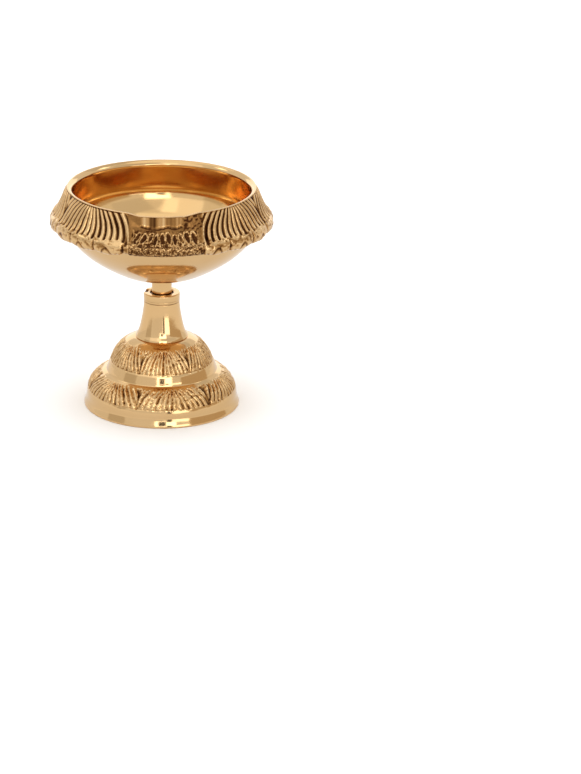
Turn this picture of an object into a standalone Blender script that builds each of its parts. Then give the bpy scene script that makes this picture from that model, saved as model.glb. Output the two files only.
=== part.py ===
"""A turned and cast brass oil lamp: a bowl on a threaded neck that screws into a stem on a domed, two-tier base.

The lamp stands on its foot at z = 0, its axis is Z, and the wick notch in the bowl's rim faces -Y.
Lengths below are millimetres unless a name says otherwise; MM turns them into metres.
"""

import math

import bmesh
import bpy

MM = 0.001
GAP = 0.3                    # clearance kept between neighbouring pieces

# overall heights
FOOT_R = 26.7                # radius of the foot
STEM_Z = 24.2                # where the stem stands on the base
STEM_TOP = 38.4              # the stem's top face, sunk inside the collar ring
WASHER_T = 0.4               # thickness of the seat washer
COLLAR_Z0, COLLAR_Z1 = 37.0, 39.7
COLLAR_BORE = 3.95           # radius of the hole the neck passes through
NECK_R = 3.45                # visible neck between stem and bowl
BOWL_Z = 45.2                # underside of the bowl, at the neck
RIM_Z = 77.3                 # highest point of the rim
BOWL_R = 38.0                # radius over the petal tips

# neck thread, a coarse rounded screw
PITCH = 1.25
THREAD_MID = 2.5
THREAD_AMP = 0.3
THREAD_GAP = 0.3
THREAD_Z0, THREAD_Z1 = 31.3, 37.9     # the stud's threaded length
BORE_Z0 = 30.7                        # bottom of the stem's upper bore
THREAD_SEG = 20
THREAD_ROWS_PER_TURN = 6

# rim ornament
NOTCH_HALF = 20.5            # half the width of the wick notch, degrees
FIRST_LOBE = 50.5            # width of the lobe beside the notch, degrees
OTHER_LOBE = (180.0 - NOTCH_HALF - FIRST_LOBE) / 2.0
TIPS_PER_LOBE = 3

# base ornament
PETALS = 6
PETAL_CENTRE = 10.0          # the first petal's centre, degrees round from the front

BOWL_SEG = 72
BASE_SEG = 48
STEM_SEG = THREAD_SEG
SMALL_SEG = 24

# brass of the polished and of the cast pieces: colour, metallic, roughness
POLISHED = ((0.86, 0.64, 0.36), 1.0, 0.12)
CAST = ((0.78, 0.55, 0.28), 1.0, 0.30)
FASTENER = ((0.80, 0.62, 0.34), 1.0, 0.35)


def clear():
    for ob in list(bpy.data.objects):
        bpy.data.objects.remove(ob, do_unlink=True)


def material(name, look):
    mat = bpy.data.materials.new(name)
    mat.use_nodes = True
    bsdf = mat.node_tree.nodes["Principled BSDF"]
    bsdf.inputs["Base Color"].default_value = (*look[0], 1.0)
    bsdf.inputs["Metallic"].default_value = look[1]
    bsdf.inputs["Roughness"].default_value = look[2]
    return mat


def front_angle(i, n):
    """Degrees from the front (-Y), -180 to 180, positive towards +X."""
    a = 360.0 * i / n
    return a - 360.0 if a > 180.0 else a


def ring_point(a, r, z):
    t = math.radians(a)
    return (r * math.sin(t) * MM, -r * math.cos(t) * MM, z * MM)


def turned(name, rings, seg, mat, parent, smooth=40.0):
    """A turned solid. rings is the outline as functions of the angle: each is f(a) -> (r, z), in order up the outside and down the inside.
    A ring given as a bare number is a point on the axis at that height. An outline that doesn't start on the axis closes on itself."""
    bm = bmesh.new()
    rows = []
    for ring in rings:
        if isinstance(ring, (int, float)):
            rows.append([bm.verts.new((0, 0, ring * MM))])
        else:
            rows.append([bm.verts.new(ring_point(front_angle(i, seg), *ring(front_angle(i, seg)))) for i in range(seg)])
    pairs = list(zip(rows, rows[1:]))
    if len(rows[0]) > 1:                      # no point on the axis: the outline is a closed loop
        pairs.append((rows[-1], rows[0]))
    for low, high in pairs:
        for i in range(seg):
            j = (i + 1) % seg
            if len(low) == 1:
                bm.faces.new((low[0], high[j], high[i]))
            elif len(high) == 1:
                bm.faces.new((low[i], low[j], high[0]))
            else:
                bm.faces.new((low[i], low[j], high[j], high[i]))
    bmesh.ops.recalc_face_normals(bm, faces=bm.faces)
    mesh = bpy.data.meshes.new(name)
    bm.to_mesh(mesh)
    bm.free()
    mesh.shade_smooth()
    mesh.set_sharp_from_angle(angle=math.radians(smooth))
    ob = bpy.data.objects.new(name, mesh)
    bpy.context.scene.collection.objects.link(ob)
    ob.data.materials.append(mat)
    ob.parent = parent
    return ob


def plain(points):
    """Rings of constant radius from (r, z) pairs."""
    return [p if isinstance(p, (int, float)) else (lambda a, p=p: p) for p in points]


def smoothstep(x):
    x = min(1.0, max(0.0, x))
    return x * x * (3.0 - 2.0 * x)


# ---------------------------------------------------------------- thread

def thread_rings(z0, z1, offset, up):
    """Rings of a rounded screw thread between z0 and z1. offset widens it for the bore."""
    n = max(2, round((z1 - z0) / PITCH * THREAD_ROWS_PER_TURN))
    out = []
    for k in range(n + 1):
        z = z0 + (z1 - z0) * k / n
        def ring(a, z=z):
            # right-handed: the crest climbs as the angle turns counter-clockwise seen from above
            turn = (a / 360.0)
            return (THREAD_MID + offset + THREAD_AMP * math.cos(2.0 * math.pi * (z / PITCH - turn)), z)
        out.append(ring)
    return out if up else out[::-1]


# ---------------------------------------------------------------- base

def petal(a):
    """1 in the middle of a base petal, 0 in the valley between two."""
    u = ((a - PETAL_CENTRE) / (360.0 / PETALS)) % 1.0
    return abs(math.cos(math.pi * u)) ** 0.8


def base_rings():
    def band(r, z, swell):
        return lambda a: (r + swell * (petal(a) - 0.6), z)
    outside = [
        lambda a: (FOOT_R - 0.4, 0.0),
        lambda a: (FOOT_R, 0.5),
        lambda a: (26.2, 2.9),
        lambda a: (25.8, 4.7),
        lambda a: (25.5, 5.8),
        band(25.0, 7.0, 0.35),
        band(24.0, 8.6, 0.6),
        band(22.6, 10.2, 0.6),
        band(20.9, 11.6, 0.35),
        lambda a: (19.6, 12.0),
        lambda a: (18.8, 12.3),
        lambda a: (18.6, 13.8),
        lambda a: (18.0, 15.3),
        band(17.3, 16.6, 0.45),
        band(16.3, 18.4, 0.6),
        band(15.2, 20.1, 0.55),
        band(13.8, 21.5, 0.3),
        lambda a: (12.2, 22.7),
        lambda a: (10.6, 23.5),
        lambda a: (9.0, STEM_Z - GAP),
    ]
    inside = [
        (3.3, STEM_Z - GAP), (3.3, 20.8), (11.4, 20.6), (13.6, 18.6), (15.4, 15.4), (16.2, 12.2),
        (18.4, 10.2), (21.6, 8.4), (23.0, 5.6), (23.6, 2.4), (24.2, 0.0),
    ]
    return outside + plain(inside)


# ---------------------------------------------------------------- stem

# ---------------------------------------------------------------- bowl

def rim_zone(a):
    """Where the angle falls in the rim ornament: 0 on the lobes to 1 in the wick notch, with soft shoulders."""
    return 1.0 - smoothstep((abs(a) - (NOTCH_HALF - 2.0)) / 4.0)


def lobe_at(a):
    """How many lobes round from the notch an angle is, 0 to 3, and below 0 inside the notch."""
    u = abs(a) - NOTCH_HALF
    return u / FIRST_LOBE if u < FIRST_LOBE else 1.0 + (u - FIRST_LOBE) / OTHER_LOBE


def tip_bump(a):
    """0 in the gap between two petal tips, 1 on a tip, and flat in the notch."""
    u = lobe_at(a)
    return 0.72 if u < 0.0 else abs(math.sin(math.pi * TIPS_PER_LOBE * u)) ** 0.6


def lobe_bump(a):
    u = lobe_at(a)
    return 0.0 if u < 0.0 else abs(math.sin(math.pi * u)) ** 0.5


def rim_dip(a):
    """The rim is a little lower towards the wick side, and lower again across the notch."""
    return 0.7 * ((1.0 + math.cos(math.radians(a))) / 2.0) ** 2 + 0.7 * rim_zone(a)


def bowl_rings():
    underside = [
        (3.0, BOWL_Z), (8.0, 45.5), (12.5, 46.7), (17.5, 49.2), (22.6, 52.2),
        (27.2, 55.6), (30.0, 58.6), (31.8, 61.0), (32.7, 62.6),
    ]

    def edge(r, z, tip, lobe, cut, dip):
        # tip: how far petal tips swell; lobe: how far lobes swell; cut: how deep the notch is; dip: share of the rim's dip
        return lambda a: (r + tip * (tip_bump(a) - 1.0) + lobe * (lobe_bump(a) - 1.0) - cut * rim_zone(a), z - dip * rim_dip(a))

    band = [
        edge(35.2, 63.5, 0.9, 0.0, 0.0, 0.0),
        edge(37.4, 64.2, 1.1, 0.0, 0.0, 0.0),
        edge(BOWL_R, 65.4, 1.2, 0.0, 0.0, 0.0),
        edge(37.6, 66.7, 1.1, 0.0, 0.2, 0.1),
        edge(36.4, 68.2, 0.5, 0.5, 0.7, 0.2),
        edge(35.2, 69.9, 0.0, 0.7, 1.0, 0.3),
        edge(34.1, 71.6, 0.0, 0.6, 0.5, 0.5),
        edge(33.4, 73.4, 0.0, 0.4, 1.5, 0.7),
        edge(32.7, 75.2, 0.0, 0.2, 0.9, 0.9),
        edge(32.0, 76.7, 0.0, 0.0, 0.4, 1.0),
        edge(31.3, RIM_Z, 0.0, 0.0, 0.0, 1.0),
        edge(30.6, 76.8, 0.0, 0.0, 0.0, 1.0),
        edge(29.65, 75.7, 0.0, 0.0, 0.0, 1.0),
    ]
    inside = [
        (30.29, 73.6), (31.2, 70.2), (31.75, 67.4), (31.6, 65.2), (31.0, 63.6), (30.1, 61.8), (28.9, 59.9),
        (27.6, 58.4), (25.2, 56.5), (21.4, 54.6), (16.7, 53.0), (9.9, 51.0), (4.9, 49.5), 48.81,
    ]
    return plain(underside) + band + plain(inside)


def build():
    clear()
    scene_root = bpy.data.objects.new("lamp_axis", None)
    bpy.context.scene.collection.objects.link(scene_root)
    bowl_axis = bpy.data.objects.new("bowl_screw_axis", None)
    bpy.context.scene.collection.objects.link(bowl_axis)
    bowl_axis.parent = scene_root
    polished = material("polished_brass", POLISHED)
    cast = material("cast_brass", CAST)
    fastener = material("fastener_brass", FASTENER)

    turned("base", base_rings(), BASE_SEG, cast, scene_root)

    stem = turned("stem", stem_rings_closed(), STEM_SEG, polished, scene_root)

    ledge = STEM_TOP + GAP + 0.1             # the ring's inner step, over the stem's spigot
    ring = [(6.2, COLLAR_Z0 + 0.2), (6.2, COLLAR_Z1 - 0.3), (5.9, COLLAR_Z1), (COLLAR_BORE + 0.2, COLLAR_Z1),
            (COLLAR_BORE, COLLAR_Z1 - 0.2), (COLLAR_BORE, ledge), (5.0, ledge), (5.0, COLLAR_Z0), (6.0, COLLAR_Z0)]
    turned("collar_ring", plain(ring), SMALL_SEG, polished, scene_root)

    seat = STEM_TOP + GAP
    washer = [(3.6, seat), (3.6, seat + WASHER_T), (3.12, seat + WASHER_T), (3.12, seat)]
    turned("seat_washer", plain(washer), SMALL_SEG, polished, bowl_axis)

    turned("neck_spindle", spindle_rings(), STEM_SEG, polished, bowl_axis)

    turned("bowl", bowl_rings_closed(), BOWL_SEG, polished, bowl_axis)

    nut_washer = [(7.2, 19.1), (7.2, 20.3), (3.25, 20.3), (3.25, 19.1)]
    turned("base_washer", plain(nut_washer), SMALL_SEG, fastener, scene_root)
    base_bolt(fastener, scene_root)
    bpy.context.view_layer.update()


def stem_rings_closed():
    """The stem's outline: up the outside, down the upper threaded bore, and, past the web between them, the lower bolt hole."""
    outside = [
        (8.9, STEM_Z), (8.55, 24.7), (8.05, 25.6), (7.6, 26.8), (7.15, 28.8), (6.75, 31.0),
        (6.35, 33.2), (6.15, 35.2), (6.1, COLLAR_Z0 - GAP - 0.1), (4.7, COLLAR_Z0 - GAP), (4.7, STEM_TOP),
    ]
    mouth = THREAD_MID + THREAD_GAP + THREAD_AMP
    bore = thread_rings(BORE_Z0, STEM_TOP - 0.4, THREAD_GAP, up=False)
    hole = [(3.2, STEM_Z)]
    return [29.3] + plain([(3.2, 28.9)] + hole + outside + [(mouth + 0.05, STEM_TOP)]) + bore + [BORE_Z0 - 0.3]


def spindle_rings():
    """The threaded stud, the shoulder that bears on the washer, the visible neck and the spigot set in the bowl."""
    thread = thread_rings(THREAD_Z0, THREAD_Z1, 0.0, up=True)
    shoulder = STEM_TOP + GAP + WASHER_T + GAP
    above = [
        (2.5, THREAD_Z1 + 0.3), (2.5, shoulder), (3.3, shoulder), (NECK_R, shoulder + 0.2),
        (NECK_R, BOWL_Z - GAP - 0.1), (2.2, BOWL_Z - GAP), (2.2, 47.0),
    ]
    return [THREAD_Z0 - 0.2] + thread + plain(above) + [47.2]


def bowl_rings_closed():
    """The bowl's outline, from the top of the socket in its underside, out, over the rim and down inside to the floor's middle."""
    socket = [(2.5, 47.3), (2.5, BOWL_Z)]
    return [47.6] + plain(socket) + bowl_rings()


def base_bolt(mat, parent):
    """A hexagon-headed bolt from beneath. The head's six flats are 10 mm across, and the shank ends inside the stem."""
    bm = bmesh.new()
    head_r = 5.0 / math.cos(math.pi / 6.0)
    low, high = 14.9, 18.8
    outline = [(head_r - 0.6, low, 6), (head_r, low + 0.5, 6), (head_r, high, 6), (2.9, high, 12), (2.9, 28.2, 12), (2.5, 28.6, 12)]
    rows = []
    for r, z, n in outline:
        rows.append([bm.verts.new((r * math.sin(2 * math.pi * i / n) * MM, -r * math.cos(2 * math.pi * i / n) * MM, z * MM)) for i in range(n)])
    bm.faces.new(rows[0][::-1])
    for low_row, high_row in zip(rows, rows[1:]):
        if len(low_row) == len(high_row):
            n = len(low_row)
            for i in range(n):
                bm.faces.new((low_row[i], low_row[(i + 1) % n], high_row[(i + 1) % n], high_row[i]))
        else:                                  # the head's top: a hexagon outside, the twelve-sided shank inside
            for i in range(6):
                a, b = low_row[i], low_row[(i + 1) % 6]
                c0, c1, c2 = high_row[2 * i], high_row[2 * i + 1], high_row[(2 * i + 2) % 12]
                bm.faces.new((a, c1, c0))
                bm.faces.new((a, b, c1))
                bm.faces.new((b, c2, c1))
    bm.faces.new(rows[-1])
    bmesh.ops.recalc_face_normals(bm, faces=bm.faces)
    mesh = bpy.data.meshes.new("base_bolt")
    bm.to_mesh(mesh)
    bm.free()
    ob = bpy.data.objects.new("base_bolt", mesh)
    bpy.context.scene.collection.objects.link(ob)
    ob.data.materials.append(mat)
    ob.parent = parent
    return ob


build()
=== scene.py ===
"""Visual model of the brass oil lamp. Millimetres inside the helpers, metres in the meshes. The lamp's axis is Z and the wick notch faces -Y."""
import math

import bpy
import numpy as np
from mathutils import Matrix, Vector


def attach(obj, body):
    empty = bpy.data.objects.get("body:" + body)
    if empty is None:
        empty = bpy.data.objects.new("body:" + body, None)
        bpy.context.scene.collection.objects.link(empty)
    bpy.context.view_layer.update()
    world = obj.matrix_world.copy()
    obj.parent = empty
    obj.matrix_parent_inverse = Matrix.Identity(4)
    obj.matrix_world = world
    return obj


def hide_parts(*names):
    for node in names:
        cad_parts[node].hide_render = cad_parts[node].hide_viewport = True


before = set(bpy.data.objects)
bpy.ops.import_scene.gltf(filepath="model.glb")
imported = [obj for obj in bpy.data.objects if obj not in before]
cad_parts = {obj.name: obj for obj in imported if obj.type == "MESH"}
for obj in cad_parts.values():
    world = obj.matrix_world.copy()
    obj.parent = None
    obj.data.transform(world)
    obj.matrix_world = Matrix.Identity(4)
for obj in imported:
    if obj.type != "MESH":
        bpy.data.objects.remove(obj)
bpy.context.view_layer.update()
MM = 0.001
TAU = 2.0 * math.pi

# ------------------------------------------------------------------ numbers shared with the CAD model
NOTCH_HALF = 20.5
FIRST_LOBE = 50.5
OTHER_LOBE = (180.0 - NOTCH_HALF - FIRST_LOBE) / 2.0
TIPS = 3
PETALS = 6
PETAL_CENTRE = 10.0
PITCH, THREAD_MID, THREAD_AMP, THREAD_GAP = 1.25, 2.5, 0.3, 0.3
STEM_Z, STEM_TOP, COLLAR_Z0, COLLAR_Z1, NECK_R = 24.2, 38.4, 37.0, 39.7, 3.45
BOWL_Z, RIM_Z = 45.2, 77.3


# ------------------------------------------------------------------ helpers

def smooth(x):
    x = np.clip(x, 0.0, 1.0)
    return x * x * (3.0 - 2.0 * x)


def spline(points, n):
    """n points evenly spaced along a natural cubic spline through (r, z) control points."""
    p = np.array(points, float)
    t = np.r_[0.0, np.cumsum(np.hypot(*np.diff(p, axis=0).T))]
    m = len(p)
    h = np.diff(t)
    A = np.zeros((m, m))
    b = np.zeros((m, 2))
    A[0, 0] = A[-1, -1] = 1.0
    for i in range(1, m - 1):
        A[i, i - 1], A[i, i], A[i, i + 1] = h[i - 1], 2 * (h[i - 1] + h[i]), h[i]
        b[i] = 6 * ((p[i + 1] - p[i]) / h[i] - (p[i] - p[i - 1]) / h[i - 1])
    c = np.linalg.solve(A, b)

    def at(s):
        i = np.clip(np.searchsorted(t, s, side="right") - 1, 0, m - 2)
        d0, d1, hh = (t[i + 1] - s)[:, None], (s - t[i])[:, None], h[i][:, None]
        return (c[i] * d0**3 + c[i + 1] * d1**3) / (6 * hh) + (p[i] / hh - c[i] * hh / 6) * d0 + (p[i + 1] / hh - c[i + 1] * hh / 6) * d1

    fine = at(np.linspace(0, t[-1], 40 * m))
    L = np.r_[0.0, np.cumsum(np.hypot(*np.diff(fine, axis=0).T))]
    s = np.interp(np.linspace(0, L[-1], n), L, np.linspace(0, t[-1], 40 * m))
    return at(s)


def angles(n):
    """Degrees round from the front (-Y) towards +X, -180 to 180."""
    a = np.arange(n) * 360.0 / n
    return np.where(a > 180.0, a - 360.0, a)


class Noise:
    """Smooth value noise on a cylinder, periodic round the axis, the same every run."""

    def __init__(self, seed):
        self.rng = np.random.RandomState(seed)
        self.cache = {}

    def __call__(self, a, v, na, nv):
        key = (na, nv)
        if key not in self.cache:
            self.cache[key] = self.rng.rand(nv + 3, na) * 2.0 - 1.0
        g = self.cache[key]
        x = (a % 360.0) / 360.0 * na
        y = np.clip(v, 0.0, 1.0) * nv
        i, j = np.floor(x).astype(int), np.floor(y).astype(int)
        fx, fy = smooth(x - i), smooth(y - j)
        i0, i1 = i % na, (i + 1) % na
        return (g[j, i0] * (1 - fx) + g[j, i1] * fx) * (1 - fy) + (g[j + 1, i0] * (1 - fx) + g[j + 1, i1] * fx) * fy


def make_mesh(name, rows, closed=False, attrs=("cav",), sharp=None):
    """A surface through rows of points. Each row is (xyz[n, 3] in mm, {attribute: [n]}); a row of one point is a pole.
    Neighbouring rows hold the same number of points, or one holds a whole multiple of the other's."""
    starts, total = [], 0
    for xyz, _ in rows:
        starts.append(total)
        total += len(xyz)
    verts = np.concatenate([xyz for xyz, _ in rows]) * MM
    quads, tris = [], []
    pairs = [(k, k + 1) for k in range(len(rows) - 1)] + ([(len(rows) - 1, 0)] if closed else [])
    for k, m in pairs:
        nk, nm = len(rows[k][0]), len(rows[m][0])
        a, b = starts[k], starts[m]
        if nk == nm:
            i = np.arange(nk)
            j = (i + 1) % nk
            quads.append(np.c_[a + i, a + j, b + j, b + i])
        elif nk == 1:
            i = np.arange(nm)
            tris.append(np.c_[np.full(nm, a), b + (i + 1) % nm, b + i])
        elif nm == 1:
            i = np.arange(nk)
            tris.append(np.c_[a + i, a + (i + 1) % nk, np.full(nk, b)])
        elif nk > nm:
            q = nk // nm
            c = np.arange(nm)
            for s in range(q):
                i = c * q + s
                tris.append(np.c_[a + i, a + (i + 1) % nk, b + (c if s < (q + 1) // 2 else (c + 1) % nm)])
            tris.append(np.c_[a + (c * q + (q + 1) // 2) % nk, b + (c + 1) % nm, b + c])
        else:
            q = nm // nk
            c = np.arange(nk)
            for s in range(q):
                i = c * q + s
                tris.append(np.c_[b + (i + 1) % nm, b + i, a + (c if s < (q + 1) // 2 else (c + 1) % nk)])
            tris.append(np.c_[a + c, a + (c + 1) % nk, b + (c * q + (q + 1) // 2) % nm])
    quads = np.concatenate(quads) if quads else np.zeros((0, 4), int)
    tris = np.concatenate(tris) if tris else np.zeros((0, 3), int)
    mesh = bpy.data.meshes.new(name)
    mesh.vertices.add(total)
    mesh.vertices.foreach_set("co", verts.astype(np.float32).ravel())
    loops = np.concatenate([quads.ravel(), tris.ravel()]).astype(np.int32)
    mesh.loops.add(len(loops))
    mesh.loops.foreach_set("vertex_index", loops)
    nf = len(quads) + len(tris)
    mesh.polygons.add(nf)
    start = np.concatenate([np.arange(len(quads)) * 4, len(quads) * 4 + np.arange(len(tris)) * 3]).astype(np.int32)
    mesh.polygons.foreach_set("loop_start", start)
    mesh.update(calc_edges=True)
    mesh.validate()
    for key in attrs:
        at = mesh.attributes.new(key, "FLOAT", "POINT")
        at.data.foreach_set("value", np.concatenate([np.broadcast_to(d.get(key, 0.0), (len(xyz),)) for xyz, d in rows]).astype(np.float32))
    mesh.shade_smooth()
    if sharp:
        mesh.set_sharp_from_angle(angle=math.radians(sharp))
    ob = bpy.data.objects.new(name, mesh)
    bpy.context.scene.collection.objects.link(ob)
    return ob


def ring(r, z, n, dr=0.0, dz=0.0, **attr):
    """A row of n points at radius r and height z, with offsets that may vary round it."""
    t = np.radians(angles(n))
    r = np.broadcast_to(r + dr, (n,))
    z = np.broadcast_to(z + dz, (n,))
    return np.c_[r * np.sin(t), -r * np.cos(t), z], attr


def pole(z, **attr):
    return np.array([[0.0, 0.0, z]]), attr


def plain_rows(points, n, **attr):
    return [ring(r, z, n, **attr) for r, z in points]


# ------------------------------------------------------------------ ornament

def lobe_at(a):
    u = np.abs(a) - NOTCH_HALF
    return np.where(u < FIRST_LOBE, u / FIRST_LOBE, 1.0 + (u - FIRST_LOBE) / OTHER_LOBE)


def leaf_phase(off, v, pitch, root, grow, reach, p):
    """Which flute of a palm leaf a point lies on. off is degrees from the leaf's centre line and v runs 0 at its root to 1 at the flutes' ends.
    A flute leaves the root closer to the centre line, sweeps outwards and turns straight down."""
    s = np.linspace(-2.2 * reach, 2.2 * reach, 1201)
    rho = np.minimum(root + grow * (np.abs(s) / reach) ** 1.2, 0.97)
    out = np.empty(np.broadcast(off, v).shape)
    for k in range(out.shape[0]):
        e = 1.0 - (1.0 - min(max(float(v[k, 0]), 0.0), 1.0)) ** p
        out[k] = np.interp(off[k if off.shape[0] > 1 else 0], s * (rho + (1.0 - rho) * e), s)
    return out / pitch


def groove(g, width):
    """1 in the middle of a flute, 0 on the ridges between; g is the phase."""
    d = np.abs(g - np.round(g))
    return np.exp(-((d / width) ** 2) ** 1.5)


def displace(path, h):
    """Offset of a profile's rows along its outward normal: h is [rows, n] in mm. Returns dr, dz."""
    t = np.gradient(path, axis=0)
    t /= np.hypot(*t.T)[:, None]
    nr, nz = t[:, 1], -t[:, 0]
    return h * nr[:, None], h * nz[:, None]


N_FINE, N_BODY = 1200, 300


def rim_band():
    """The ornamented band from under the petal tips to the lip: rows of the fine grid."""
    path = np.concatenate([
        spline([(33.0, 63.5), (34.4, 63.15), (36.1, 63.3), (37.2, 64.1), (37.55, 65.4)], 12)[:-1],
        spline([(37.55, 65.4), (37.25, 66.7), (36.4, 67.9), (35.45, 69.0), (34.65, 70.3), (34.0, 71.7), (33.35, 73.2), (32.75, 74.7), (32.15, 76.1), (31.82, 76.95)], 46)[:-1],
        spline([(31.82, 76.95), (31.72, 77.13), (31.55, 77.25), (31.3, RIM_Z - 0.02)], 4),
    ])
    n, rows = N_FINE, len(path)
    a = angles(n)[None, :]
    aa = np.broadcast_to(a, (rows, n))
    L = np.r_[0.0, np.cumsum(np.hypot(*np.diff(path, axis=0).T))]
    z = path[:, 1][:, None]
    up = L[:, None]
    at = lambda h: float(np.interp(h, path[11:, 1], L[11:]))
    top, low = at(77.08), at(67.9)
    v = (top - up) / (top - low)                 # 0 under the lip, 1 where the flutes end
    q = up / low                                 # 0 at the tips' under edge, 1 where the flutes end
    vv = np.broadcast_to(up / L[-1], (rows, n))
    noise, grain = Noise(3), Noise(11)
    wob, fine, peb, big = noise(aa, vv, 90, 10), noise(aa, vv, 420, 46), grain(aa, vv, 260, 36), noise(aa, vv, 40, 4)

    # which lobe, and how far from its centre line
    lobe = lobe_at(a)
    k = np.clip(np.floor(lobe), 0, 2)
    mid = np.where(k < 1, NOTCH_HALF + FIRST_LOBE * 0.53, NOTCH_HALF + FIRST_LOBE + OTHER_LOBE * (k - 0.5))
    half = np.where(k < 1, FIRST_LOBE * 0.47, OTHER_LOBE / 2.0)
    off = np.abs(a) - mid
    u = np.mod(lobe, 1.0)
    # the lobes' edges lean in over the notch towards their lower ends
    e = 1.0 - (1.0 - np.clip(v, 0.0, 1.0)) ** 1.7
    edge_a = np.where(a < 0, 21.4 - 4.2 * e, 24.6 - 2.0 * e)
    on = smooth((np.abs(a) - edge_a + 0.35) / 0.7)          # 1 on the lobes
    rooted = smooth(v / 0.025) * (1.0 - smooth((v - 1.0 - 0.07 * big) / 0.05))
    g = leaf_phase(off + 0.16 * wob, v, 3.62, 0.38, 0.44, 30.0, 2.5) + 0.35
    which = np.round(g)
    ends = 0.97 + 0.05 * np.sin(which * 2.4) - 0.05 * np.abs(off / 27.0) ** 2
    stop = 1.0 - smooth((v - ends) / 0.05)
    fl = groove(g, np.where(a < 0, 0.178, 0.200) + 0.03 * np.sin(which * 1.7)) * stop
    dark_fl = groove(g, np.where(a < 0, 0.180, 0.212) + 0.03 * np.sin(which * 1.7)) * stop      # the tarnish lies in the bottoms
    ridge = 0.5 - 0.5 * np.cos(TAU * g)
    join = np.exp(-(((half - np.abs(off)) / 0.55) ** 2)) * (k + (np.abs(off) > 0) * (off > 0) > 0)
    deep = (0.78 + 0.18 * np.sin(which * 3.1) + 0.25 * big) * (0.55 + 0.45 * smooth(v / 0.25))
    bulge = 1.0 - np.abs(off / half) ** 3
    h = 0.30 * np.clip(bulge, 0, 1) * smooth(v / 0.2) - 0.12
    h = h + rooted * (-0.70 * fl * deep + 0.20 * (ridge - 0.5)) - 0.30 * join * rooted
    left = a < 0
    # painted shade: a thin line is cut under the lip, and its colour is darkened (0.9 in c_lobe) as the shade of that
    # undercut, fully on the left and less on the right
    line = np.exp(-(((up - at(76.98)) / 0.12) ** 2)) * np.where(left, 1.0, 0.45) * (np.abs(a) > 24)
    h = h - 0.22 * line

    # petal tips along the lower edge, three to a lobe, each with a looped cut and a smaller leaf beside it
    t3 = np.mod(TIPS * lobe, 1.0)
    tip = np.abs(np.sin(math.pi * np.clip(TIPS * lobe, 0, 99))) ** 0.5
    body = np.exp(-(((q - 0.36) / 0.40) ** 2))
    h = h - (1.0 - tip) * 0.62 * body + 0.06 * body
    edge = np.minimum(t3, 1.0 - t3)
    gap = np.exp(-((edge / (0.028 + 0.035 * np.clip(1 - q, 0, 1))) ** 2)) * (1.0 - smooth((q - 0.82) / 0.2)) * smooth((q + 0.05) / 0.1)
    h = h - 0.55 * gap

    def loop(c, wx, wy, t0=0.0):
        x, y = (t3 - c + 0.02 * wob) / wx, (q - 0.06) / wy
        rad = np.sqrt(x**2 + y**2)
        return np.exp(-(((rad - 1.0) / 0.10) ** 2)) * (y > 0.05) * (x > t0), np.clip(1.0 - rad**2, 0, 1)

    loop1, in1 = loop(0.54, 0.20, 0.62, -0.9)
    loop2, in2 = loop(0.17, 0.10, 0.42)
    loop3, in3 = loop(0.85, 0.09, 0.45)
    loops = np.clip(loop1 + 0.7 * loop2 + 0.7 * loop3, 0, 1)
    h = h - 0.20 * loops + 0.20 * in1 + 0.10 * (in2 + in3)
    pebble = smooth((q - 0.50) / 0.2) * (1.0 - smooth((q - 1.02) / 0.16))
    h = h + 0.10 * peb * pebble + 0.015 * peb * (q < 0.5)
    pits = smooth((-peb - 0.15) / 0.35) * pebble

    # the wick notch: an upright polished face under the lip, a ledge below it, a row of small flutes and a granulated edge
    seg = np.where(a < 3.8, (a + 11.6) / 15.4, (a - 3.8) / 7.4)
    hang = np.where((a > -11.6) & (a < 11.2), np.sin(math.pi * np.clip(seg, 0, 1)), 0.0) * np.where(a < 3.8, 1.0, 0.8)
    z_low = 74.15 - 0.75 * hang
    in_face = 1.0 - smooth((np.abs(a + 0.2) - 11.0) / 2.0)
    face = smooth((z - z_low) / 0.16)                           # 1 on the face
    path_r = path[:, 0][:, None]
    side = smooth((np.abs(a) - 10.5) / (edge_a - 10.5))         # 0 beside the face, 1 at the lobe's edge
    floor_z = -0.95 + 0.55 * (1 - smooth((z - 66.6) / 1.2))     # the scoop below the face
    r_face = 31.62 + 0.09 * np.exp(-(((z - z_low - 0.12) / 0.13) ** 2)) - 0.02 * (z - 74.5)
    h_face = (r_face - path_r) / 0.93
    soft = smooth((z - 72.2) / 3.0)
    h_side = floor_z * (1 - soft) + h_face * soft               # beside the face the wall runs into the scoop without a step
    mid_h = h_side * (1 - in_face) + in_face * (face * h_face + (1 - face) * floor_z)
    hn = mid_h * (1 - side) + side * (-0.50)
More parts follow.
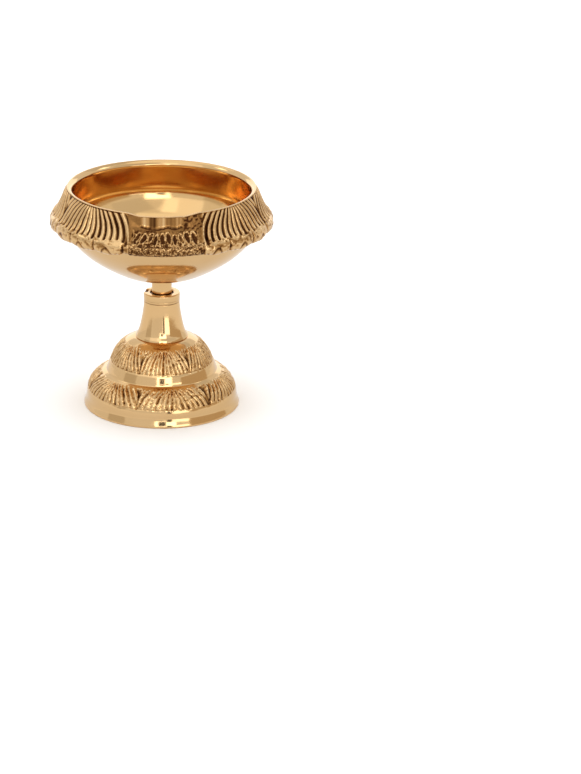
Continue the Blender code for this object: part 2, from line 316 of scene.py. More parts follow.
    # painted shadow: a small recess is cut under the face's lower edge, and the same band is darkened in colour (0.65
    # in c_notch) as the shadow beneath that edge
    under = np.exp(-(((z - z_low + 0.20) / 0.16) ** 2)) * in_face
    hn = hn - 0.20 * under
    gn = leaf_phase(a - 0.4 + 0.30 * wob, np.clip((74.0 - z) / 6.2, 0, 1), 3.62, 0.62, 0.25, 18.0, 1.4)
    mw = np.round(gn)
    gw = gn - mw + 0.10 * wob + 0.07 * peb
    dist = np.sqrt((gw / (0.29 + 0.05 * np.sin(mw * 1.9))) ** 2 + ((z - 70.0 - 0.35 * np.sin(mw * 2.1) + 0.35 * peb) / (1.55 + 0.3 * np.cos(mw * 1.3))) ** 2)
    motif = smooth((72.9 + 0.3 * big - z) / 0.5) * smooth((z - 67.6 - 0.3 * big) / 0.5) * (1.0 - smooth((np.abs(a - 2.0) - 17.0) / 2.5))
    pit = np.exp(-(dist**4)) * (0.8 + 0.25 * np.sin(mw * 3.7))
    rim_l = np.exp(-(((dist - 1.32) / 0.22) ** 2))
    hn = hn + motif * (0.10 - 0.36 * pit + 0.16 * rim_l + 0.12 * peb)
    stip = (1.0 - smooth((z - 68.0 - 0.4 * big) / 0.5)) * (1.0 - on)
    hn = hn + stip * (0.10 * peb + 0.10 * fine)
    rough_side = smooth((a - 12.0) / 2.0) * smooth((z - 72.0) / 1.0)
    hn = hn + 0.10 * rough_side * peb - 0.30 * np.exp(-(((a - 14.2) / 0.8) ** 2) - ((z - 74.6) / 0.5) ** 2)
    h = h * on + (1.0 - on) * hn
    # the pale raised edge of each lobe beside the notch
    bead = np.exp(-(((np.abs(a) - edge_a - 0.55) / 0.42) ** 2)) * smooth(v / 0.05) * (1.0 - smooth((v - 1.0) / 0.1))
    h = h + 0.16 * bead * on
    dark_side = np.exp(-(((np.abs(a) - edge_a - 1.9) / 0.9) ** 2)) * smooth((v - 0.6) / 0.3) * (1.0 - smooth((v - 1.08) / 0.1))
    h = h - 0.35 * dark_side * on

    h = h + 0.02 * fine + 0.02 * wob
    # the lip itself and the turned underside stay smooth; the flutes reach right up to the lip's edge
    ends_fade = smooth((up - 0.25) / 1.2) * (1.0 - smooth((up - at(77.05)) / 0.12))
    lip_notch = 1.0 - smooth((up - at(76.95)) / 0.25)
    fade = ends_fade * on + (1.0 - on) * smooth((up - 0.25) / 1.2) * lip_notch
    h = h * fade
    dip = rim_dip(a) * smooth((z - 66.5) / 9.0)
    dr, dz = displace(path, h)
    # on the notch's face the push is level, so that it stands upright
    level = (1.0 - on) * face * in_face * fade
    dr = dr * (1 - level) + level * h
    dz = dz * (1 - level)

    c_lobe = rooted * (1.8 * dark_fl * np.clip(deep, 0.6, 1.2) + 0.8 * join) + 0.9 * line + 0.75 * gap + 0.75 * loops * (q < 0.8) + 0.45 * pits + 0.8 * dark_side - 0.2 * bead
    c_lobe = c_lobe + 0.04 + 0.07 * smooth((a - 20.0) / 10.0) + 0.06 * (1.0 - smooth((q - 0.7) / 0.3)) * (a < 0) + 0.12 * big
    # painted reflection: the notch's upright face is painted with vertical light and dark bands that stand for the tent
    # reflected in it
    painted_reflection = 0.50 + 0.34 * np.exp(-(((a + 5.2) / 2.3) ** 2) ** 2) + 0.12 * np.exp(-(((a - 5.5) / 2.6) ** 2) ** 2) - 0.40 * np.exp(-(((a - 0.9) / 0.75) ** 2)) - 0.26 * np.exp(-(((a + 10.0) / 1.6) ** 2)) - 0.14 * np.exp(-(((a + 1.6) / 0.8) ** 2)) \
        + 0.05 * noise(aa, 0 * vv, 160, 10) + 0.06 * np.sin(a * 2.6)
    c_notch = (0.65 - 0.03 * smooth((a - 11.0) / 4.0) + 0.06 * big) * (1 - face * in_face) + painted_reflection * face * in_face + motif * (0.46 * pit - 0.55 * rim_l - 0.05 + 0.35 * smooth(-peb / 0.5)) + 0.65 * under + stip * (-0.22 + 0.5 * smooth((-peb - 0.1) / 0.5)) + 0.4 * rough_side * smooth(-peb / 0.5) \
        + 0.6 * np.exp(-(((a - 14.2) / 0.9) ** 2) - ((z - 74.6) / 0.6) ** 2)
    cav = np.clip(c_lobe * on + (1.0 - on) * c_notch, 0, 1) * fade
    orn = fade * (1.0 - (1.0 - on) * np.clip(face * in_face + 0.75 * (1 - motif) * (1 - stip) * (a < 12.0), 0, 1))
    orn = orn * (1.0 - 0.55 * on * (1.0 - smooth((q - 0.55) / 0.35)))
    stipple = fade * np.clip(stip + 0.35 * motif + 0.25 * pebble * on, 0, 1)
    out = []
    for k_ in range(rows):
        out.append(ring(path[k_, 0], path[k_, 1], n, dr=dr[k_], dz=dz[k_] - dip[k_], cav=cav[k_], orn=orn[k_], stip=stipple[k_]))
    return out


def rim_dip(a):
    notch = 1.0 - smooth((np.abs(a) - 12.0) / 11.0)
    return 0.7 * ((1.0 + np.cos(np.radians(a))) / 2.0) ** 2 + 0.75 * notch


def bowl():
    rows = [pole(47.6), ring(2.5, 47.3, 100), ring(2.5, 45.35, 100), ring(2.65, BOWL_Z, 100)]
    under = spline([(2.8, BOWL_Z), (6.0, 45.3), (10.0, 45.95), (14.0, 47.35), (18.0, 49.4), (22.0, 51.85), (25.5, 54.35), (28.3, 56.95), (30.4, 59.45), (31.9, 61.8), (32.8, 63.35)], 32)
    rows += [ring(r, z, 100) for r, z in under[:2]]
    rows += [ring(r, z, N_BODY) for r, z in under[2:]]
    rows += rim_band()
    a = angles(N_BODY)
    dip = rim_dip(a)
    lip = spline([(31.3, RIM_Z - 0.02), (30.9, 77.2), (30.4, 76.85), (29.95, 76.35), (29.66, 75.75)], 8)[1:]
    rows += [ring(r, z, N_BODY, dz=-dip) for r, z in lip]
    inner = spline([(29.66, 75.75), (29.97, 74.75), (30.29, 73.6), (31.23, 70.2), (31.78, 66.4), (30.44, 62.4), (27.65, 58.4), (21.38, 54.6), (11.0, 51.35), (5.65, 49.7), (2.41, 49.0)], 52)[1:]
    for r, z in inner:
        rows.append(ring(r, z, N_BODY, dz=-dip * smooth((z - 70.0) / 5.5), inside=1.0))
    rows.append(ring(1.2, 48.86, 100, inside=1.0))
    rows.append(pole(48.81, inside=1.0))
    return make_mesh("bowl_finished", rows, attrs=("cav", "orn", "stip", "inside"), sharp=50)


def tier_band(path, n, seed, swell, deep, pitch, shift=0.0, dark=1.0, root=0.18, grow=0.52):
    """One tier of cast palm leaves. path runs upwards; v is 0 at the top of the leaves."""
    a = angles(n)[None, :]
    L = np.r_[0.0, np.cumsum(np.hypot(*np.diff(path, axis=0).T))]
    up = L[:, None] / L[-1]
    v = 1.0 - up
    noise = Noise(seed)
    vv = np.broadcast_to(up, (len(path), n))
    aa = np.broadcast_to(a, vv.shape)
    wob, fine, peb = noise(aa, vv, 70, 6), noise(aa, vv, 330, 24), noise(aa, vv, 170, 15)
    big = noise(aa, vv, 16, 2)
    width = 360.0 / PETALS
    u = np.mod((a - PETAL_CENTRE - shift) / width + 0.5, 1.0)
    off = (u - 0.5) * width
    g = leaf_phase(off + 0.5 * wob, v * 1.02, pitch, root, grow, 30.0, 1.35) + 0.5
    which = np.round(g)
    worn = smooth((0.35 + 0.9 * big + 0.5 * peb) / 0.9)         # where the casting is pebbled and the flutes are soft
    strength = (0.75 + 0.3 * np.sin(which * 2.3 + seed)) * (1.0 - 0.45 * worn)
    ends = 0.93 + 0.04 * np.sin(which * 1.9 + seed)
    fl = groove(g, 0.21) * smooth((v - 0.02 - 0.10 * (which % 2)) / 0.12) * (1.0 - smooth((v - ends) / 0.06))
    ridge = 0.5 - 0.5 * np.cos(TAU * g)
    body = smooth((v - 0.01) / 0.06) * (1.0 - smooth((v - 0.955) / 0.035))
    bulge = 1.0 - np.abs(2.0 * u - 1.0) ** 2.5
    valley = np.exp(-((np.minimum(u, 1.0 - u) / 0.02) ** 2)) * (1.0 - 0.4 * worn)
    h = body * (swell * (bulge - 0.55) * smooth(v / 0.4) * 0.6 - deep * fl * strength + 0.16 * (ridge - 0.5) * (1 - 0.5 * worn) - 0.30 * valley
                + 0.13 * peb * (0.25 + 0.75 * worn) + 0.03 * fine)
    rim = np.exp(-(((v - 0.965 - 0.012 * np.sin(which * 2.0)) / 0.02) ** 2))
    h = h - 0.10 * rim
    painted_light_tone = 1.08 + 0.2 * smooth((a - 12.0) / 15.0) - 0.35 * np.exp(-(((a + 4.0) / 20.0) ** 2))     # painted light and shade: the leaves' tarnish is lightened in front and deepened on the right
    cav = np.clip(dark * painted_light_tone * body * (1.05 * fl * strength + 0.7 * valley + 0.6 * smooth((-peb - 0.12) / 0.5) * (0.25 + 0.75 * worn)) + 0.45 * rim + 0.06 * body, 0, 1)
    dr, dz = displace(path, h)
    return [ring(path[k, 0], path[k, 1], n, dr=dr[k], dz=dz[k], cav=cav[k], orn=np.broadcast_to(body[k], (n,)), stip=0.25 * np.broadcast_to(body[k], (n,))) for k in range(len(path))]


def base():
    n = 900
    rows = []
    foot = spline([(26.35, 0.0), (26.62, 0.12), (26.68, 0.45)], 4)
    rows += [ring(r, z, n) for r, z in foot]
    rows += [ring(r, z, n) for r, z in spline([(26.62, 0.7), (26.3, 1.6), (25.98, 2.5), (25.84, 3.1)], 6)]
    rows += [ring(r, z, n) for r, z in spline([(25.8, 3.5), (25.66, 4.5), (25.5, 5.45)], 4)]
    rows += tier_band(spline([(25.4, 5.8), (25.0, 7.0), (24.2, 8.4), (23.0, 9.7), (21.6, 10.8), (20.1, 11.7)], 30), n, 21, 0.5, 0.42, 4.5, dark=0.85)
    rows += [ring(r, z, n) for r, z in spline([(19.9, 11.8), (19.4, 11.95), (19.0, 12.08)], 3)]
    rows += [ring(r, z, n) for r, z in spline([(18.86, 12.25), (18.78, 12.6), (18.3, 14.0), (17.86, 15.2)], 6)]
    rows += tier_band(spline([(17.65, 15.5), (17.1, 16.8), (16.35, 18.3), (15.35, 19.8), (14.1, 21.2), (12.1, 22.75)], 30), n, 33, 0.4, 0.36, 5.0, shift=-6.0, dark=0.76)
    rows += [ring(r, z, n) for r, z in spline([(11.8, 22.92), (11.2, 23.22), (10.4, 23.55), (9.7, 23.78), (9.2, 23.87)], 5)]
    rows += [ring(9.0, 23.9, 300), ring(3.4, 23.9, 300, under=1.0), ring(3.3, 23.8, 300, under=1.0), ring(3.3, 20.9, 300, under=1.0)]
    rows += [ring(r, z, 300, under=1.0) for r, z in ((3.5, 20.75), (11.2, 20.6))]
    wall = spline([(11.6, 20.5), (13.5, 18.7), (15.2, 15.6), (16.2, 12.4), (18.3, 10.3), (21.4, 8.5), (22.9, 5.8), (23.6, 2.4), (24.1, 0.35)], 24)
    no = Noise(5)
    aa = angles(300)
    for k, (r, z) in enumerate(wall):
        rows.append(ring(r, z, 300, dr=0.12 * no(aa, np.full(300, k / 26), 40, 9) * min(1.0, z / 2.0), under=1.0))
    rows.append(ring(24.25, 0.0, 300, under=0.5))
    return make_mesh("base_finished", rows, closed=True, attrs=("cav", "orn", "stip", "under"), sharp=38)


def thread_rows(z0, z1, offset, n, per_turn=14, down=False):
    count = max(4, round((z1 - z0) / PITCH * per_turn))
    a = angles(n) % 360.0
    rows = []
    for k in range(count + 1):
        z = z0 + (z1 - z0) * k / count
        c = np.cos(TAU * (z / PITCH - a / 360.0))
        rows.append(ring(THREAD_MID + offset + THREAD_AMP * c, z, n, cav=0.35 * (1 - c) / 2))
    return rows[::-1] if down else rows


def stem():
    n = 192
    rows = [pole(29.3), ring(3.2, 28.9, n), ring(3.2, STEM_Z + 0.1, n), ring(3.3, STEM_Z, n)]
    side = spline([(8.74, 23.94), (8.89, 24.08), (8.86, 24.32), (8.70, 24.7), (8.3, 25.4), (7.86, 26.4), (7.5, 27.6), (7.14, 29.2), (6.78, 31.0), (6.46, 32.8), (6.26, 34.4), (6.14, 35.8), (6.1, 36.5)], 44)
    rows += [ring(r, z, n) for r, z in side]
    rows += [ring(6.08, 36.62, n, cav=0.1), ring(6.0, 36.7, n, cav=0.5), ring(4.75, 36.7, n, cav=0.8), ring(4.7, 36.75, n, cav=0.8), ring(4.7, STEM_TOP - 0.12, n, cav=0.5), ring(4.6, STEM_TOP, n, cav=0.3)]
    rows += [ring(3.2, STEM_TOP, n, cav=0.4)]
    rows += thread_rows(30.7, STEM_TOP - 0.4, THREAD_GAP, n, down=True)
    rows.append(pole(30.4))
    return make_mesh("stem_finished", rows, attrs=("cav",), sharp=40)


def collar_ring():
    n = 240
    a = angles(n)
    # a nick in the ring's upper face, on the left
    nick = np.exp(-(((a + 103.0) / 13.0) ** 2) ** 2)
    rows = []
    # painted shade: the third numbers of the inner rows (from radius 4.6 inward) darken the ring's inner edge and bore,
    # as shade in the gap round the neck's foot
    outer = [(5.95, 36.78, 0), (6.06, 36.80, 0), (6.11, 36.88, 0), (6.13, 37.2, 0), (6.15, 37.42, 0), (6.11, 37.48, 0.25), (6.155, 37.56, 0), (6.17, 38.2, 0), (6.19, 38.9, 0), (6.2, 39.35, 0), (6.16, 39.55, 0), (6.06, 39.66, 0), (5.9, COLLAR_Z1, 0),
             (5.2, 39.695, 0), (4.6, 39.68, 0.05), (4.2, 39.64, 0.15), (4.02, 39.55, 0.4), (3.95, 39.4, 0.6), (3.95, 38.8, 0.7), (5.0, 38.8, 0.7), (5.0, 36.8, 0.7)]
    for r, z, cav in outer:
        edge = float(smooth((z - 38.9) / 0.7)) * float(smooth((r - 4.5) / 0.9))
        rows.append(ring(r, z, n, dr=-0.30 * nick * edge, dz=-0.75 * nick * edge, cav=np.clip(cav + nick * edge * 1.4, 0, 1)))
    return make_mesh("collar_ring_finished", rows, closed=True, attrs=("cav",), sharp=45)


def seat_washer():
    n = 144
    z = STEM_TOP + 0.3
    pts = [(3.54, z), (3.6, z + 0.06), (3.6, z + 0.34), (3.54, z + 0.4), (3.18, z + 0.4), (3.12, z + 0.34), (3.12, z + 0.06), (3.18, z)]
    return make_mesh("seat_washer_finished", [ring(r, zz, n, cav=0.55) for r, zz in pts], closed=True, attrs=("cav",), sharp=40)


def spindle():
    n = 144
    f0 = STEM_TOP + 0.3 + 0.4 + 0.3
    rows = [pole(31.1), ring(1.9, 31.12, n)]
    rows += thread_rows(31.3, 37.9, 0.0, n)
    # painted shade: the flange and the foot of the neck are darkened in colour, fading up the neck's lowest half
    # millimetre, as the shade of the narrow gap inside the collar
    rows += [ring(r, z, n, cav=0.4) for r, z in [(2.5, 38.2), (2.5, f0 - 0.05), (2.55, f0), (3.25, f0), (3.38, f0 + 0.06)]]
    neck = spline([(3.44, f0 + 0.2), (3.45, f0 + 0.6), (3.42, 42.0), (3.42, 44.0)], 14)
    rows += [ring(r, z, n, cav=0.45 * max(0.0, 1.0 - (z - f0) / 0.5)) for r, z in neck]
    rows += [ring(3.34, 44.2, n, cav=0.12), ring(3.34, 44.36, n, cav=0.2), ring(3.44, 44.5, n), ring(3.45, 44.8, n), ring(3.38, 44.9, n, cav=0.3), ring(2.25, 44.9, n), ring(2.2, 45.0, n), ring(2.2, 46.9, n), ring(2.0, 47.15, n), pole(47.2)]
    return make_mesh("neck_spindle_finished", rows, attrs=("cav",), sharp=40)


def base_bolt():
    """Hexagon head with chamfered corners, a shank with a cut thread, seen from beneath."""
    n = 144
    a = angles(n)
    hexr = 5.0 / np.cos(np.radians(((a + 30.0) % 60.0) - 30.0))
    corner = 5.0 / math.cos(math.pi / 6.0)
    rows = [pole(14.9), ring(3.6, 14.9, n), ring(np.minimum(hexr, 4.75), 14.95, n)]
    for zz, rr in ((15.1, 5.05), (15.3, 5.35), (15.55, 5.65), (15.9, 6.0)):
        rows.append(ring(np.minimum(hexr, rr), zz, n))
    rows += [ring(hexr * 1.0, 17.0, n), ring(hexr, 18.6, n), ring(hexr * 0.985, 18.8, n), ring(3.0, 18.8, n)]
    count = 70
    for k in range(count + 1):
        z = 19.0 + 9.0 * k / count
        rows.append(ring(2.72 + 0.16 * np.cos(TAU * (z / 1.0 - (a % 360) / 360.0)), z, n, cav=0.2))
    rows += [ring(2.3, 28.3, n), pole(28.4)]
    return make_mesh("base_bolt_finished", rows, attrs=("cav",), sharp=30)


def base_washer():
    n = 144
    pts = [(7.0, 19.1), (7.2, 19.25), (7.2, 20.15), (7.05, 20.3), (3.4, 20.3), (3.25, 20.15), (3.25, 19.25), (3.4, 19.1)]
    return make_mesh("base_washer_finished", [ring(r, z, n) for r, z in pts], closed=True, attrs=("cav",), sharp=40)


# ------------------------------------------------------------------ materials

class Nodes:
    def __init__(self, name):
        self.mat = bpy.data.materials.new(name)
        self.mat.use_nodes = True
        self.t = self.mat.node_tree
        self.bsdf = self.t.nodes["Principled BSDF"]

    def add(self, kind, **props):
        node = self.t.nodes.new(kind)
        for k, v in props.items():
            setattr(node, k, v)
        return node

    def link(self, a, b):
        self.t.links.new(a, b)

    def math(self, op, a, b=0.5, clamp=False):
        n = self.add("ShaderNodeMath", operation=op, use_clamp=clamp)
        for i, x in enumerate((a, b)):
            if isinstance(x, (int, float)):
                n.inputs[i].default_value = x
            else:
                self.link(x, n.inputs[i])
        return n.outputs[0]

    def mix(self, f, a, b):
        n = self.add("ShaderNodeMix", data_type="RGBA")
        for sock, x in ((n.inputs["Factor"], f), (n.inputs["A"], a), (n.inputs["B"], b)):
            if isinstance(x, (int, float)):
                sock.default_value = x
            elif isinstance(x, tuple):
                sock.default_value = (*x, 1.0)
            else:
                self.link(x, sock)
        return n.outputs["Result"]

    def attr(self, name):
        return self.add("ShaderNodeAttribute", attribute_name=name).outputs["Fac"]

    def noise(self, scale, detail=3.0, rough=0.5, vector=None):
        n = self.add("ShaderNodeTexNoise")
        n.inputs["Scale"].default_value = scale
        n.inputs["Detail"].default_value = detail
        n.inputs["Roughness"].default_value = rough
        if vector is not None:
            self.link(vector, n.inputs["Vector"])
        return n.outputs["Fac"]

    def ramp(self, x, lo, hi, a=0.0, b=1.0):
        n = self.add("ShaderNodeMapRange", clamp=True)
        self.link(x, n.inputs["Value"])
        for k, val in (("From Min", lo), ("From Max", hi), ("To Min", a), ("To Max", b)):
            n.inputs[k].default_value = val
        return n.outputs["Result"]

    def turned(self):
        """Coordinates (radius, height) of the surface, so that a fine noise on them makes rings round the axis."""
        co = self.add("ShaderNodeTexCoord").outputs["Object"]
        sep = self.add("ShaderNodeSeparateXYZ")
        self.link(co, sep.inputs[0])
        x2 = self.math("MULTIPLY", sep.outputs[0], sep.outputs[0])
        y2 = self.math("MULTIPLY", sep.outputs[1], sep.outputs[1])
        r = self.math("SQRT", self.math("ADD", x2, y2))
        com = self.add("ShaderNodeCombineXYZ")
        self.link(r, com.inputs[0])
        self.link(sep.outputs[2], com.inputs[1])
        return co, com.outputs[0]

    def bump(self, height, strength, distance, normal=None):
        n = self.add("ShaderNodeBump")
        n.inputs["Strength"].default_value = strength
        n.inputs["Distance"].default_value = distance
        self.link(height, n.inputs["Height"])
        if normal is not None:
            self.link(normal, n.inputs["Normal"])
        return n.outputs["Normal"]


BRASS = (0.735, 0.488, 0.240)
BRASS_WARM = (0.705, 0.458, 0.212)
PATINA = (0.060, 0.020, 0.006)
PATINA_MID = (0.41, 0.205, 0.062)


def polished(name, rings=1.0, rough=0.085, specks=0.12, light=BRASS, warm=BRASS_WARM):
    m = Nodes(name)
    co, rz = m.turned()
    fine = m.noise(5200.0, 2.0, 0.6, rz)
    broad = m.noise(900.0, 2.0, 0.5, rz)
    cloud = m.noise(55.0, 4.0, 0.55, co)
    speck = m.noise(900.0, 3.0, 0.6, co)
    cav = m.attr("cav")
    col = m.mix(m.ramp(cloud, 0.35, 0.7), light, warm)
    col = m.mix(m.ramp(cav, 0.0, 0.45), col, PATINA_MID)
    col = m.mix(m.ramp(cav, 0.4, 1.0), col, PATINA)
    m.link(col, m.bsdf.inputs["Base Color"])
    m.bsdf.inputs["Metallic"].default_value = 1.0
    r = m.math("ADD", m.ramp(cloud, 0.3, 0.75, rough, rough + 0.05), m.ramp(fine, 0.35, 0.75, 0.0, 0.05))
    r = m.math("ADD", r, m.ramp(cav, 0.1, 0.9, 0.0, 0.35))
    m.link(r, m.bsdf.inputs["Roughness"])
    h = m.math("ADD", m.math("MULTIPLY", fine, 0.5 * rings), m.math("MULTIPLY", broad, 0.6 * rings))
    h = m.math("ADD", h, m.math("MULTIPLY", speck, specks))
    m.link(m.bump(h, 0.35, 0.00002), m.bsdf.inputs["Normal"])
    return m.mat


def ornament(name, dark=1.0):
    """Cast and buffed brass: bright on the high points, brown to nearly black in the flutes."""
    m = Nodes(name)
    co, rz = m.turned()
    cav, orn, stip = m.attr("cav"), m.attr("orn"), m.attr("stip")
    cloud = m.noise(120.0, 4.0, 0.6, co)
    grain = m.noise(1300.0, 4.0, 0.65, co)
    dots = m.noise(2700.0, 2.0, 0.5, co)
    fine = m.noise(5200.0, 2.0, 0.6, rz)
    broad = m.noise(900.0, 2.0, 0.5, rz)
    c = m.math("ADD", m.math("MULTIPLY", cav, 1.0 * dark), m.math("MULTIPLY", m.ramp(cloud, 0.4, 0.75, -0.06, 0.12), orn))
    c = m.math("ADD", c, m.math("MULTIPLY", m.ramp(grain, 0.35, 0.7, 0.14, -0.10), orn))
    c = m.math("ADD", c, m.math("MULTIPLY", m.ramp(dots, 0.42, 0.60, 0.42, -0.22), stip))
    col = m.mix(m.ramp(m.noise(55.0, 4.0, 0.55, co), 0.35, 0.7), BRASS, BRASS_WARM)
    col = m.mix(m.ramp(c, 0.13, 0.56), col, PATINA_MID)
    col = m.mix(m.ramp(c, 0.46, 0.92), col, PATINA)
    m.link(col, m.bsdf.inputs["Base Color"])
    m.bsdf.inputs["Metallic"].default_value = 1.0
    base = m.ramp(cloud, 0.3, 0.75, 0.075, 0.125)
    r = m.math("ADD", base, m.math("MULTIPLY", m.ramp(grain, 0.3, 0.7, 0.02, 0.12), orn))
    r = m.math("ADD", r, m.ramp(c, 0.1, 0.9, 0.0, 0.3))
    m.link(r, m.bsdf.inputs["Roughness"])
    h1 = m.math("MULTIPLY", grain, orn)
    h1 = m.math("ADD", h1, m.math("MULTIPLY", m.math("MULTIPLY", dots, 1.1), stip))
    inv = m.math("SUBTRACT", 1.0, orn)
    h2 = m.math("MULTIPLY", m.math("ADD", m.math("MULTIPLY", fine, 0.12), m.math("MULTIPLY", broad, 0.14)), inv)
    m.link(m.bump(m.math("ADD", h1, h2), 0.45, 0.00008), m.bsdf.inputs["Normal"])
    return m.mat


def cast_inside(name):
    m = Nodes(name)
    co, rz = m.turned()
    grain = m.noise(1400.0, 5.0, 0.65, co)
    cloud = m.noise(90.0, 4.0, 0.6, co)
    chatter = m.noise(1100.0, 2.0, 0.5, rz)
    col = m.mix(m.ramp(cloud, 0.35, 0.7), (0.52, 0.33, 0.14), (0.40, 0.22, 0.085))
    col = m.mix(m.ramp(grain, 0.45, 0.75, 0.0, 0.5), col, (0.20, 0.10, 0.035))
    m.link(col, m.bsdf.inputs["Base Color"])
    m.bsdf.inputs["Metallic"].default_value = 1.0
    m.link(m.ramp(grain, 0.3, 0.75, 0.36, 0.58), m.bsdf.inputs["Roughness"])
    h = m.math("ADD", grain, m.math("MULTIPLY", chatter, 0.6))
    m.link(m.bump(h, 0.5, 0.00012), m.bsdf.inputs["Normal"])
    return m.mat


def fastener(name):
    m = Nodes(name)
    co, rz = m.turned()
    grain = m.noise(2200.0, 3.0, 0.6, co)
    cloud = m.noise(160.0, 3.0, 0.6, co)
    cav = m.attr("cav")
    col = m.mix(m.ramp(cloud, 0.35, 0.7), (0.70, 0.50, 0.24), (0.60, 0.40, 0.17))
    col = m.mix(m.ramp(cav, 0.1, 0.9, 0.0, 0.7), col, PATINA_MID)
    m.link(col, m.bsdf.inputs["Base Color"])
    m.bsdf.inputs["Metallic"].default_value = 1.0
    m.link(m.ramp(grain, 0.3, 0.75, 0.24, 0.38), m.bsdf.inputs["Roughness"])
    m.link(m.bump(grain, 0.35, 0.00004), m.bsdf.inputs["Normal"])
    return m.mat


def split_by(ob, attr, low, high):
    """Give the faces whose vertices carry the attribute the second material slot."""
    me = ob.data
    val = np.zeros(len(me.vertices), np.float32)
    me.attributes[attr].data.foreach_get("value", val)
    loops = np.zeros(len(me.loops), np.int32)
    me.loops.foreach_get("vertex_index", loops)
    start = np.zeros(len(me.polygons), np.int32)
    me.polygons.foreach_get("loop_start", start)
    idx = (val[loops[start]] > 0.45) & (val[loops[start + 1]] > 0.45) & (val[loops[start + 2]] > 0.45)
    ob.data.materials.append(low)
    ob.data.materials.append(high)
    me.polygons.foreach_set("material_index", idx.astype(np.int32))
    me.update()


# ------------------------------------------------------------------ build

def build_lamp():
    mat_polished = polished("brass_polished")
    mat_orn = ornament("brass_ornament")
    mat_inside_bowl = polished("brass_turned_inside", rings=1.4, rough=0.075, specks=0.0, light=(0.750, 0.492, 0.228), warm=(0.732, 0.470, 0.206))
    mat_cast = cast_inside("brass_cast_inside")
    mat_fast = fastener("brass_fastener")

    b = bowl()
    split_by(b, "inside", mat_orn, mat_inside_bowl)
    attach(b, "bowl")
    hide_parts("bowl")

    s = spindle()
    s.data.materials.append(mat_polished)
    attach(s, "bowl")
    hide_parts("neck_spindle")

    w = seat_washer()
    w.data.materials.append(mat_polished)
    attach(w, "seat")
    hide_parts("seat_washer")

    c = collar_ring()
    c.data.materials.append(mat_polished)
    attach(c, "stand")
    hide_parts("collar_ring")

    st = stem()
    st.data.materials.append(mat_polished)
    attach(st, "stand")
    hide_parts("stem")

    ba = base()
    split_by(ba, "under", ornament("brass_ornament_base", dark=0.8), mat_cast)
    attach(ba, "stand")
    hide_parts("base")

    for piece, node in ((base_bolt(), "base_bolt"), (base_washer(), "base_washer")):
        piece.data.materials.append(mat_fast)
        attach(piece, "stand")
        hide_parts(node)


def panel(name, centre, look_at, w, h, strength, colour=(1.0, 1.0, 1.0), shadows=False):
    """A flat luminous card of the light tent, seen only in reflections."""
    mesh = bpy.data.meshes.new(name)
    mesh.from_pydata([(-w / 2, -h / 2, 0), (w / 2, -h / 2, 0), (w / 2, h / 2, 0), (-w / 2, h / 2, 0)], [], [(0, 1, 2, 3)])
    ob = bpy.data.objects.new(name, mesh)
    bpy.context.scene.collection.objects.link(ob)
    d = Vector(look_at) - Vector(centre)
    ob.location = centre
    ob.rotation_euler = d.to_track_quat("Z", "Y").to_euler()
    mat = bpy.data.materials.new(name)
    mat.use_nodes = True
    t = mat.node_tree
    t.nodes.remove(t.nodes["Principled BSDF"])
    e = t.nodes.new("ShaderNodeEmission")
    e.inputs["Color"].default_value = (*colour, 1.0)
    e.inputs["Strength"].default_value = strength
    t.links.new(e.outputs[0], t.nodes["Material Output"].inputs["Surface"])
    mesh.materials.append(mat)
    ob.visible_camera = False
    ob.visible_shadow = shadows
    ob.visible_diffuse = False
    return ob


def floor_card():
    """How bright the floor looks in the brass: even far out, darker round the foot. Seen only in reflections."""
    n, radii = 96, (0.0275, 0.04, 0.07, 0.14, 0.5, 3.5)
    verts = [(r * math.cos(TAU * i / n), r * math.sin(TAU * i / n), 0.0002) for r in radii for i in range(n)]
    faces = [(k * n + i, k * n + (i + 1) % n, (k + 1) * n + (i + 1) % n, (k + 1) * n + i) for k in range(len(radii) - 1) for i in range(n)]
    mesh = bpy.data.meshes.new("floor_card")
    mesh.from_pydata(verts, [], faces)
    ob = bpy.data.objects.new("floor_card", mesh)
    bpy.context.scene.collection.objects.link(ob)
    mat = bpy.data.materials.new("floor_card")
    mat.use_nodes = True
    t = mat.node_tree
    t.nodes.remove(t.nodes["Principled BSDF"])
    e = t.nodes.new("ShaderNodeEmission")
    co = t.nodes.new("ShaderNodeTexCoord")
    length = t.nodes.new("ShaderNodeVectorMath")
    length.operation = "LENGTH"
    fall = t.nodes.new("ShaderNodeMapRange")
    fall.inputs["From Min"].default_value = 0.03
    fall.inputs["From Max"].default_value = 0.14
    fall.inputs["To Min"].default_value = 0.88
    fall.inputs["To Max"].default_value = 1.01
    t.links.new(co.outputs["Object"], length.inputs[0])
    t.links.new(length.outputs["Value"], fall.inputs["Value"])
    t.links.new(fall.outputs["Result"], e.inputs["Strength"])
    e.inputs["Color"].default_value = (1.0, 0.98, 0.96, 1.0)
    t.links.new(e.outputs[0], t.nodes["Material Output"].inputs["Surface"])
    mesh.materials.append(mat)
    ob.visible_camera = False
    ob.visible_shadow = False
    ob.visible_diffuse = False


def polar(az, el, d, z=0.04):
    """A point d metres from the lamp: azimuth 0 is the front, positive towards +X."""
    a, e = math.radians(az), math.radians(el)
    return (d * math.cos(e) * math.sin(a), -d * math.cos(e) * math.cos(a), z + d * math.sin(e))


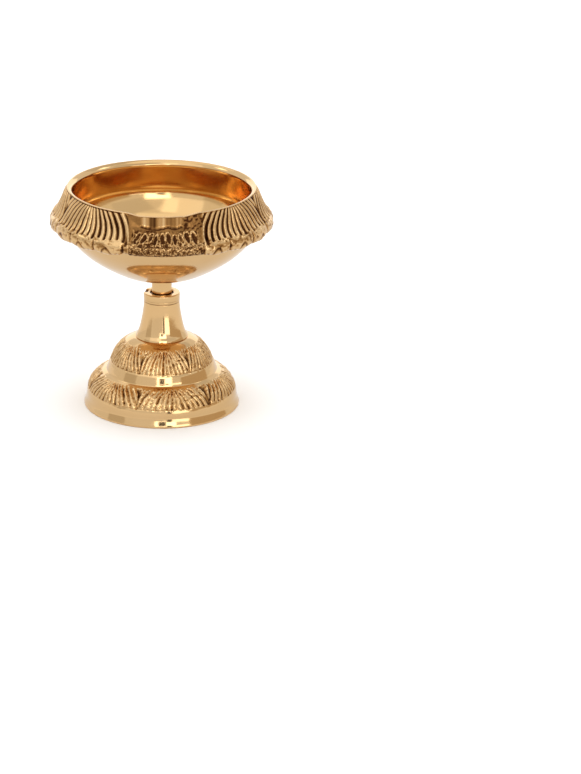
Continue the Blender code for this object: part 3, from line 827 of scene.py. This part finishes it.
def stage():
    scene = bpy.context.scene
    # floor
    mesh = bpy.data.meshes.new("floor")
    s = 6.0
    mesh.from_pydata([(-s, -s, 0), (s, -s, 0), (s, s, 0), (-s, s, 0)], [], [(0, 1, 2, 3)])
    floor = bpy.data.objects.new("floor", mesh)
    scene.collection.objects.link(floor)
    mat = bpy.data.materials.new("floor_white")
    mat.use_nodes = True
    b = mat.node_tree.nodes["Principled BSDF"]
    b.inputs["Base Color"].default_value = (0.93, 0.925, 0.915, 1.0)
    b.inputs["Roughness"].default_value = 0.9
    b.inputs["Specular IOR Level"].default_value = 0.2
    mesh.materials.append(mat)

    # the tent: an even pale sky, a little brighter overhead
    world = bpy.data.worlds.new("tent")
    scene.world = world
    world.use_nodes = True
    t = world.node_tree
    bg = t.nodes["Background"]
    co = t.nodes.new("ShaderNodeTexCoord")
    sep = t.nodes.new("ShaderNodeSeparateXYZ")
    ramp = t.nodes.new("ShaderNodeMapRange")
    ramp.inputs["From Min"].default_value = 0.0
    ramp.inputs["From Max"].default_value = 0.85
    ramp.inputs["To Min"].default_value = 0.86
    ramp.inputs["To Max"].default_value = 0.92
    t.links.new(co.outputs["Generated"], sep.inputs[0])
    t.links.new(sep.outputs[2], ramp.inputs["Value"])
    t.links.new(ramp.outputs["Result"], bg.inputs["Strength"])
    bg.inputs["Color"].default_value = (1.0, 0.995, 0.985, 1.0)

    look = (0.0, 0.0, 0.04)
    panel("front_panel", polar(5.5, 22, 1.6), look, 0.86, 0.62, 3.2)
    panel("low_window", polar(28, 6, 1.5), look, 0.66, 0.40, 2.5)
    panel("key_left", polar(-33, 46, 1.6), look, 1.35, 1.00, 1.24)
    panel("key_core", polar(-14, 48, 1.55), look, 0.42, 0.90, 1.55)
    panel("fill_right", polar(48, 44, 1.6), look, 1.25, 0.85, 0.76)
    panel("camera_shadow", polar(0.5, 16.8, 1.3), look, 0.25, 0.21, 0.10)
    panel("light_stand", polar(11.0, 6, 1.3), look, 0.15, 0.36, 0.05)
    panel("stand_glow", polar(4.5, 6, 1.5), look, 0.10, 0.20, 1.5)
    panel("flag_right", polar(74, 10, 1.5), look, 1.9, 0.75, 0.62, (1.0, 0.82, 0.60))
    panel("flag_left", polar(-70, 10, 1.5), look, 0.75, 0.75, 0.65, (1.0, 0.95, 0.86))
    panel("box_left", polar(-104, 44, 1.4), look, 0.30, 0.26, 2.6)
    panel("box_right", polar(100, 44, 1.4), look, 0.30, 0.26, 2.6)
    panel("ceiling_right", polar(138, 56, 1.6), look, 1.3, 1.0, 0.72)
    panel("ceiling_left", polar(-150, 60, 1.6), look, 1.0, 1.0, 1.15)
    panel("backdrop", polar(180, 6, 1.9), look, 3.0, 1.3, 1.5)

    floor_card()

    fill = bpy.data.lights.new("floor_fill", "AREA")
    fill.shape = "SQUARE"
    fill.size = 2.2
    fill.energy = 13.0
    ob = bpy.data.objects.new("floor_fill", fill)
    ob.location = (0.0, 0.0, 1.8)
    scene.collection.objects.link(ob)
    ob.visible_camera = False
    ob.visible_glossy = False

    light = bpy.data.lights.new("overhead", "AREA")
    light.shape = "SQUARE"
    light.size = 1.8
    light.energy = 13.0
    ob = bpy.data.objects.new("overhead", light)
    ob.location = (0.0, 0.1, 1.9)
    scene.collection.objects.link(ob)
    ob.visible_camera = False
    ob.visible_glossy = False
    panel("overhead_card", (0.0, 0.1, 1.9), look, 1.8, 1.8, 1.20)


def camera():
    """Framed like the photograph: its viewing height and distance, with the lamp in the upper left."""
    W, H = 581.0, 774.0
    px, py, f = 161.8, 296.2, 2697.0
    centre = Vector((0.0, 0.0, 0.038))
    eye = Vector((0.0, -0.870, 0.334))
    v = Vector(((px - W / 2) / f, -(py - H / 2) / f, -1.0)).normalized()
    n = Vector((1.0, 0.0, (px - W / 2) / f)).normalized()
    d = (centre - eye).normalized()
    x = Vector((1.0, 0.0, 0.0))
    world = Matrix((x, d, x.cross(d))).transposed()
    local = Matrix((n, v, n.cross(v))).transposed()
    rot = world @ local.transposed()
    cam = bpy.data.cameras.new("camera")
    cam.sensor_fit = "VERTICAL"
    cam.sensor_height = 36.0
    cam.sensor_width = 36.0
    cam.lens = f / H * 36.0
    cam.clip_start = 0.01
    cam.clip_end = 50.0
    ob = bpy.data.objects.new("camera", cam)
    ob.matrix_world = Matrix.Translation(eye) @ rot.to_4x4()
    bpy.context.scene.collection.objects.link(ob)
    bpy.context.scene.camera = ob


build_lamp()
stage()
camera()
bpy.context.scene.view_settings.view_transform = "Standard"
bpy.context.scene.cycles.glossy_bounces = 8      # the bowl's wall is seen through five or six reflections
bpy.context.view_layer.update()
